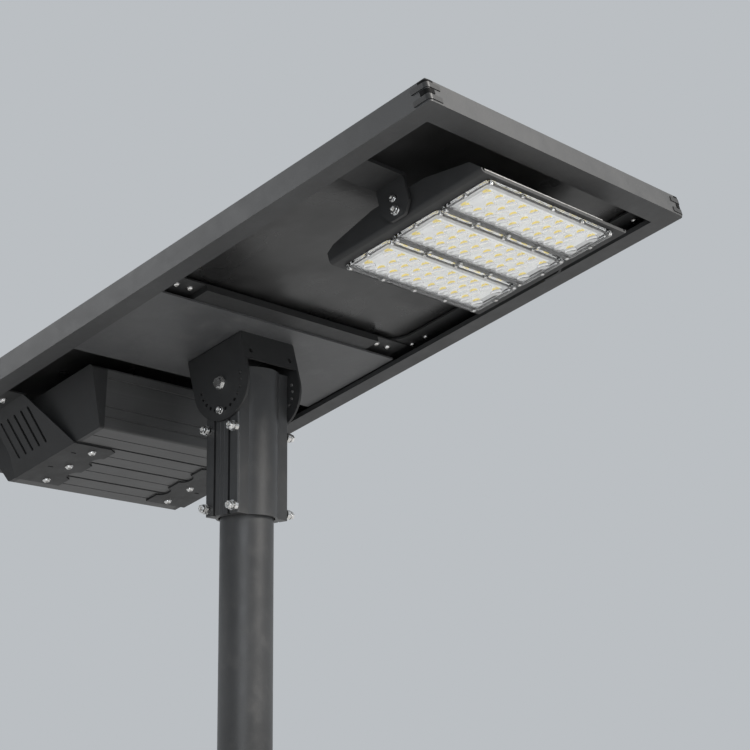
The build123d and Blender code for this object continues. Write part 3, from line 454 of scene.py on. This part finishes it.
def hexagon(build, across, low, high, place, socket):
    """Chamfered hexagon between two heights, with a key socket in its outer face."""
    top = []
    chamfer = (high - low) * 0.14
    sides = 36
    for i in range(sides):
        turn = 2 * math.pi * i / sides
        flat = math.cos(math.pi / 6) / math.cos((turn % (math.pi / 3)) - math.pi / 6)
        top.append((turn, across * flat, flat))
    def ring(radius_at, height_at):
        made = []
        for turn, radius, flat in top:
            r = radius_at(radius, flat)
            spot = Vector((r * math.cos(turn), r * math.sin(turn), height_at(flat)))
            made.append(build.verts.new(place @ spot))
        return made
    dip = lambda flat: (flat - math.cos(math.pi / 6)) * across * 0.55
    levels = [
        ring(lambda r, f: across * 0.85, lambda f: low),
        ring(lambda r, f: r, lambda f: low + dip(f) * 0.4),
        ring(lambda r, f: r, lambda f: high - chamfer * 0.3 - dip(f)),
        ring(lambda r, f: across * 0.84, lambda f: high),
    ]
    levels.append(ring(lambda r, f: socket * 1.06, lambda f: high))
    levels.append(ring(lambda r, f: socket * f, lambda f: high - chamfer * 0.5))
    levels.append(ring(lambda r, f: socket * f, lambda f: high - (high - low) * 0.55))
    for a, b in zip(levels, levels[1:]):
        for i in range(sides):
            j = (i + 1) % sides
            build.faces.new((a[i], a[j], b[j], b[i]))
    build.faces.new(levels[-1])
    build.faces.new(list(reversed(levels[0])))


def solids_of(node):
    """Points of each separate solid of a CAD node, in the row frame."""
    mesh = nodes[node].data
    keys = {}
    index = [keys.setdefault(tuple(round(c, 5) for c in v.co), len(keys)) for v in mesh.vertices]
    points = [None] * len(keys)
    for v, i in zip(mesh.vertices, index):
        points[i] = v.co.copy()
    parent = list(range(len(points)))

    def root(i):
        while parent[i] != i:
            parent[i] = parent[parent[i]]
            i = parent[i]
        return i

    for e in mesh.edges:
        a, b = root(index[e.vertices[0]]), root(index[e.vertices[1]])
        parent[a] = b
    groups = {}
    for i, p in enumerate(points):
        groups.setdefault(root(i), []).append(p)
    return [groups[k] for k in sorted(groups)]


def axis_frame(points, axis):
    """A frame whose Z runs along axis through the middle of a fastener, and its points in it."""
    turn = axis.to_track_quat("Z", "Y").to_matrix().to_4x4()
    local = [turn.inverted() @ p for p in points]
    mid = [(min(p[i] for p in local) + max(p[i] for p in local)) / 2 for i in (0, 1)]
    place = turn @ Matrix.Translation((mid[0], mid[1], 0))
    back = place.inverted()
    return place, [back @ p for p in points]


def measure(local):
    """Head radius, head start and end, shank radius, far end: all along the head's outward axis."""
    reach = [(math.hypot(p.x, p.y), p.z) for p in local]
    head_r = max(r for r, z in reach)
    head_z = [z for r, z in reach if r > head_r * 0.8]
    low, high = min(head_z), max(z for r, z in reach)
    far = min(z for r, z in reach)
    shank = [r for r, z in reach if z < low - 1e-5]
    return head_r, low, high, (max(shank) if shank else head_r * 0.5), far


def hex_bolt(build, place, size):
    head_r, low, high, shank_r, far = size
    washer = (high - low) * 0.2
    lathe(build, [(0.0, low), (head_r * 0.99, low), (head_r * 0.99, low + washer * 0.8),
                  (head_r * 0.9, low + washer), (0.0, low + washer)], 32, place)
    hexagon(build, head_r * 0.9, low + washer, high, place, socket=head_r * 0.42)
    lathe(build, [(0.0, low)] + thread(shank_r, low, far), 20, place)


def button_screw(build, place, size):
    head_r, low, high, shank_r, far = size
    tall = high - low
    washer = [(0.0, 0.0), (0.98, 0.0), (1.0, 0.12), (0.98, 0.26)]
    dome = [(0.86, 0.28), (0.84, 0.5), (0.74, 0.78), (0.56, 0.95), (0.42, 1.0)]
    key_socket = [(0.38, 0.96), (0.36, 0.45), (0.0, 0.4)]
    profile = [(head_r * across, low + tall * along) for across, along in washer + dome + key_socket]
    lathe(build, profile, 28, place)
    lathe(build, [(0.0, low)] + thread(shank_r, low, far, 0.8 * MM), 16, place)


def fasteners(node, body, axis_of, shape):
    """Detailed fasteners in the places of a node's solids; axis_of gives each head's outward direction."""
    build = bmesh.new()
    for points in solids_of(node):
        middle = sum(points, Vector()) / len(points)
        place, local = axis_frame(points, axis_of(middle))
        shape(build, place, measure(local))
    return finish_mesh(node + "_detail", build, BRIGHT, body, [node])


SIDE = lambda p: Vector((1.0 if p.x > 0 else -1.0, 0.0, 0.0))
DOWN = (HEAD.to_3x3() @ Vector((0, 0, -1))).normalized()
LOWER = lambda p: DOWN

fasteners("set_bolts", "sleeve", SIDE, hex_bolt)
fasteners("lock_bolts", "head", SIDE, hex_bolt)
for name in ("frame_screws", "strap_screws"):
    fasteners(name, "head", LOWER, button_screw)
fasteners("lens_screws", "tray", LOWER, button_screw)
fasteners("tray_lock_bolts", "tray", SIDE, hex_bolt)
fasteners("tray_pivot_bolts", "tray", SIDE, hex_bolt)
fasteners("led_bracket_screws", "head", lambda p: -DOWN, button_screw)
for name, body in (("bracket_bolts", "head"), ("bracket_nuts", "head"), ("set_nuts", "sleeve"),
                   ("pivot_bolt", "sleeve"), ("pivot_nut", "sleeve")):
    dress(nodes[name], BRIGHT)

# ==================== lens plates ====================
LENS_L, LENS_W, LENS_R = 140.0, 40.0, 9.0
LENS_LOW = 4.0
DOT_SEAT = 8.9
LED_PITCH, LED_ROW = 24.6, 17.5
OUTER_START, INNER_START = 15.7, 12.3
LED_SPOTS = [
    (s * (OUTER_START + LED_PITCH * i), d) for s in (-1, 1) for i in range(5) for d in (-LED_ROW, LED_ROW)
]
LED_SPOTS += [(s * (INNER_START + LED_PITCH * i), 0.0) for s in (-1, 1) for i in range(4)]
SCREW_SPOTS = [(x, d) for x in (-131.0, -65.5, 0.0, 65.5, 131.0) for d in (-36.0, 36.0)]
SCREW_SPOTS += [(-136.0, 0.0), (136.0, 0.0)]
RIM_FALL = 1.3
FIELD_STEP = 1.5
RIM_RIDGES = ((4.6, 0.9, -0.5), (7.4, 0.8, 0.5))
FIELD_RIDGES = ((13.6, 0.7, 0.35), (16.2, 0.7, -0.3))
BOSS_R = 5.4
DOME_HALF_L, DOME_HALF_W, DOME_H = 8.6, 7.9, 2.6
PLATE_T, PLATE_HOLLOW = 3.1, 2.1


def smooth(t):
    t = min(1.0, max(0.0, t))
    return t * t * (3 - 2 * t)


def inside(x, y):
    """Distance inside the plate's rounded outline."""
    dx, dy = abs(x) - (LENS_L - LENS_R), abs(y) - (LENS_W - LENS_R)
    out = math.hypot(max(dx, 0), max(dy, 0)) + min(max(dx, dy), 0) - LENS_R
    return -out


def ridges(d, shapes):
    """Height of rounded ridges that run round the plate, d millimetres inside its outline."""
    return sum(tall * (1 - ((d - at) / half) ** 2) for at, half, tall in shapes if abs(d - at) < half)


def lens_depth(x, y):
    """How far the outer face stands below the plate's rim face, in millimetres."""
    d = inside(x, y)
    depth = -RIM_FALL * (1 - smooth(d / 1.6))
    depth += ridges(d, RIM_RIDGES)
    depth += FIELD_STEP * smooth((d - 9.0) / 2.2)
    depth += ridges(d, FIELD_RIDGES)
    for sx, sy in SCREW_SPOTS:
        r = math.hypot(x - sx, y - sy)
        if r < BOSS_R:
            boss = smooth(BOSS_R - r)
            depth = depth * (1 - boss) - 0.05 * boss
    for lx, ly in LED_SPOTS:
        r2 = ((x - lx) / DOME_HALF_L) ** 2 + ((y - ly) / DOME_HALF_W) ** 2
        if r2 < 1.0:
            depth = max(depth, FIELD_STEP + DOME_H * math.sqrt(1 - r2))
    return depth


def lens_plate(index):
    """Clear plate: contoured outer face, flat inner face and an edge joining them."""
    mid_y = LENS_MID_Y + (index - 1) * LENS_PITCH
    step = 1.0
    columns, rows = int(2 * LENS_L / step), int(2 * LENS_W / step)
    build = bmesh.new()
    outer, inner = [], []
    for i in range(columns + 1):
        outer.append([])
        inner.append([])
        for j in range(rows + 1):
            x, y = -LENS_L + i * step, -LENS_W + j * step
            d = inside(x, y)
            if d < 0:
                cx = math.copysign(LENS_L - LENS_R, x)
                cy = math.copysign(LENS_W - LENS_R, y)
                pull = LENS_R / math.hypot(x - cx, y - cy)
                x, y = cx + (x - cx) * pull, cy + (y - cy) * pull
                d = 0.0
            back = PLATE_T - PLATE_HOLLOW * smooth(d - 11.5)
            place = HEAD @ Vector((x * MM, (mid_y + y) * MM, (LENS_LOW - lens_depth(x, y)) * MM))
            outer[-1].append(build.verts.new(place))
            place = HEAD @ Vector((x * MM, (mid_y + y) * MM, (LENS_LOW + back) * MM))
            inner[-1].append(build.verts.new(place))
    for grid in (outer, inner):
        for i in range(columns):
            for j in range(rows):
                build.faces.new((grid[i][j], grid[i + 1][j], grid[i + 1][j + 1], grid[i][j + 1]))
    edge = [(i, 0) for i in range(columns)] + [(columns, j) for j in range(rows)]
    edge += [(i, rows) for i in range(columns, 0, -1)] + [(0, j) for j in range(rows, 0, -1)]
    for (a, b), (c, d) in zip(edge, edge[1:] + edge[:1]):
        build.faces.new((outer[a][b], outer[c][d], inner[c][d], inner[a][b]))
    bmesh.ops.remove_doubles(build, verts=build.verts, dist=0.00012)
    bmesh.ops.dissolve_degenerate(build, edges=build.edges, dist=0.00005)
    name = f"module_{index + 1}_lens"
    return finish_mesh(name + "_optic", build, LENS, "tray", [name], 60)


for index in range(3):
    lens_plate(index)


def led_dots():
    """Domed phosphor dots, one over each chip, big enough to be seen through the lens."""
    build = bmesh.new()
    for index in range(3):
        for x, d in LED_SPOTS:
            spot = ((x * MM), (LENS_MID_Y + (index - 1) * LENS_PITCH + d) * MM, DOT_SEAT * MM)
            place = HEAD @ Matrix.Translation(spot) @ Matrix.Rotation(math.pi, 4, "X")
            lathe(build, [(0.0, 0.0), (5.2 * MM, 0.0), (5.1 * MM, 0.6 * MM), (4.4 * MM, 1.1 * MM),
                          (2.4 * MM, 1.5 * MM), (0.0, 1.6 * MM)], 20, place)
    return finish_mesh("led_chip_domes", build, CHIP, "tray", ["led_chips"])


led_dots()

# ==================== corner bands ====================
PANEL_HALF_W, PANEL_FRONT, PANEL_REAR = 280.0, -596.0, 464.0
BAND_REACH, BAND_PROUD, BAND_R, BAND_WALL = 13.0, 0.9, 7.0, 2.4
BAND_ZS = ((63.5, 70.0), (75.5, 82.0))


def corner_bands(name, side, end):
    """Two rounded plastic bands that wrap one corner of the frame."""
    out_x = PANEL_HALF_W + BAND_PROUD
    out_y = (PANEL_REAR if end > 0 else -PANEL_FRONT) + BAND_PROUD

    def outline(inset):
        radius = BAND_R - inset
        points = [(out_x - BAND_REACH, out_y - inset)]
        for i in range(9):
            turn = math.radians(90 - 90 * i / 8)
            x = out_x - BAND_R + radius * math.cos(turn)
            y = out_y - BAND_R + radius * math.sin(turn)
            points.append((x, y))
        points.append((out_x - inset, out_y - BAND_REACH))
        return [(side * x, end * y) for x, y in points]

    loop = outline(0.0) + outline(BAND_WALL)[::-1]
    build = bmesh.new()
    for low, high in BAND_ZS:
        rings = []
        for z in (low, high):
            rings.append([build.verts.new(HEAD @ Vector((x * MM, y * MM, z * MM))) for x, y in loop])
        count, half = len(loop), len(loop) // 2
        for i in range(count):
            j = (i + 1) % count
            build.faces.new((rings[0][i], rings[0][j], rings[1][j], rings[1][i]))
        for ring in rings:
            for i in range(half - 1):
                build.faces.new((ring[i], ring[i + 1], ring[count - 2 - i], ring[count - 1 - i]))
    return finish_mesh(name, build, BAND, "head")


for side, side_name in ((-1, "left"), (1, "right")):
    for end, end_name in ((-1, "front"), (1, "rear")):
        corner_bands(f"corner_bands_{end_name}_{side_name}", side, end)


# ==================== stage, light and camera ====================
def plain(name, color, rough):
    g = Graph(name)
    g.set(Base_Color=g.ramp(g.noise(0.8, 3.0), [(0.3, grey(color * 0.98)), (0.7, grey(color))]))
    g.put(Roughness=rough)
    return g.mat


floor_mesh = bpy.data.meshes.new("floor")
floor_build = bmesh.new()
bmesh.ops.create_grid(floor_build, x_segments=1, y_segments=1, size=14.0)
floor_build.to_mesh(floor_mesh)
floor_build.free()
floor = bpy.data.objects.new("floor", floor_mesh)
bpy.context.scene.collection.objects.link(floor)
floor.location = (0, 0, -0.0005)
floor_mesh.materials.append(plain("floor_paint", 0.5, 0.7))

world = bpy.data.worlds.new("studio")
bpy.context.scene.world = world
world.use_nodes = True
world.node_tree.nodes["Background"].inputs["Color"].default_value = (0.80, 0.84, 0.88, 1)
world.node_tree.nodes["Background"].inputs["Strength"].default_value = 0.62


def area_light(name, place, aim, size, power, color=(1, 1, 1)):
    light = bpy.data.lights.new(name, "AREA")
    light.shape = "RECTANGLE"
    light.size, light.size_y = size
    light.energy = power
    light.color = color
    obj = bpy.data.objects.new(name, light)
    bpy.context.scene.collection.objects.link(obj)
    obj.location = place
    obj.rotation_euler = (Vector(aim) - Vector(place)).to_track_quat("-Z", "Y").to_euler()
    return obj


TARGET = tuple(PIVOT)
area_light("key", (0.9, -3.4, 2.8), TARGET, (1.6, 1.6), 260, (1.0, 0.97, 0.93))
area_light("fill", (-3.4, -2.2, 1.2), TARGET, (2.4, 2.0), 45, (0.92, 0.96, 1.0))
area_light("rim", (-1.5, 3.4, 2.6), TARGET, (2.0, 1.2), 90)

YAW, PITCH, ROLL = math.radians(-49.88), math.radians(13.99), math.radians(-0.51)
look = Vector((-math.sin(YAW) * math.cos(PITCH), math.cos(YAW) * math.cos(PITCH), math.sin(PITCH)))
right = Vector((math.cos(YAW), math.sin(YAW), 0))
up = right.cross(look)
right_rolled = right * math.cos(ROLL) + up * math.sin(ROLL)
up_rolled = up * math.cos(ROLL) - right * math.sin(ROLL)
camera_data = bpy.data.cameras.new("camera")
camera_data.lens = 89.28
camera_data.sensor_width = 36.0
camera_data.clip_start = 0.05
camera = bpy.data.objects.new("camera", camera_data)
bpy.context.scene.collection.objects.link(camera)
camera.matrix_world = Matrix.Translation(PIVOT + Vector((-1.86219, -1.80756, -0.62449))) @ Matrix(
    (
        (right_rolled.x, up_rolled.x, -look.x, 0),
        (right_rolled.y, up_rolled.y, -look.y, 0),
        (right_rolled.z, up_rolled.z, -look.z, 0),
        (0, 0, 0, 1),
    )
)
bpy.context.scene.camera = camera

bpy.context.scene.view_settings.view_transform = "Standard"
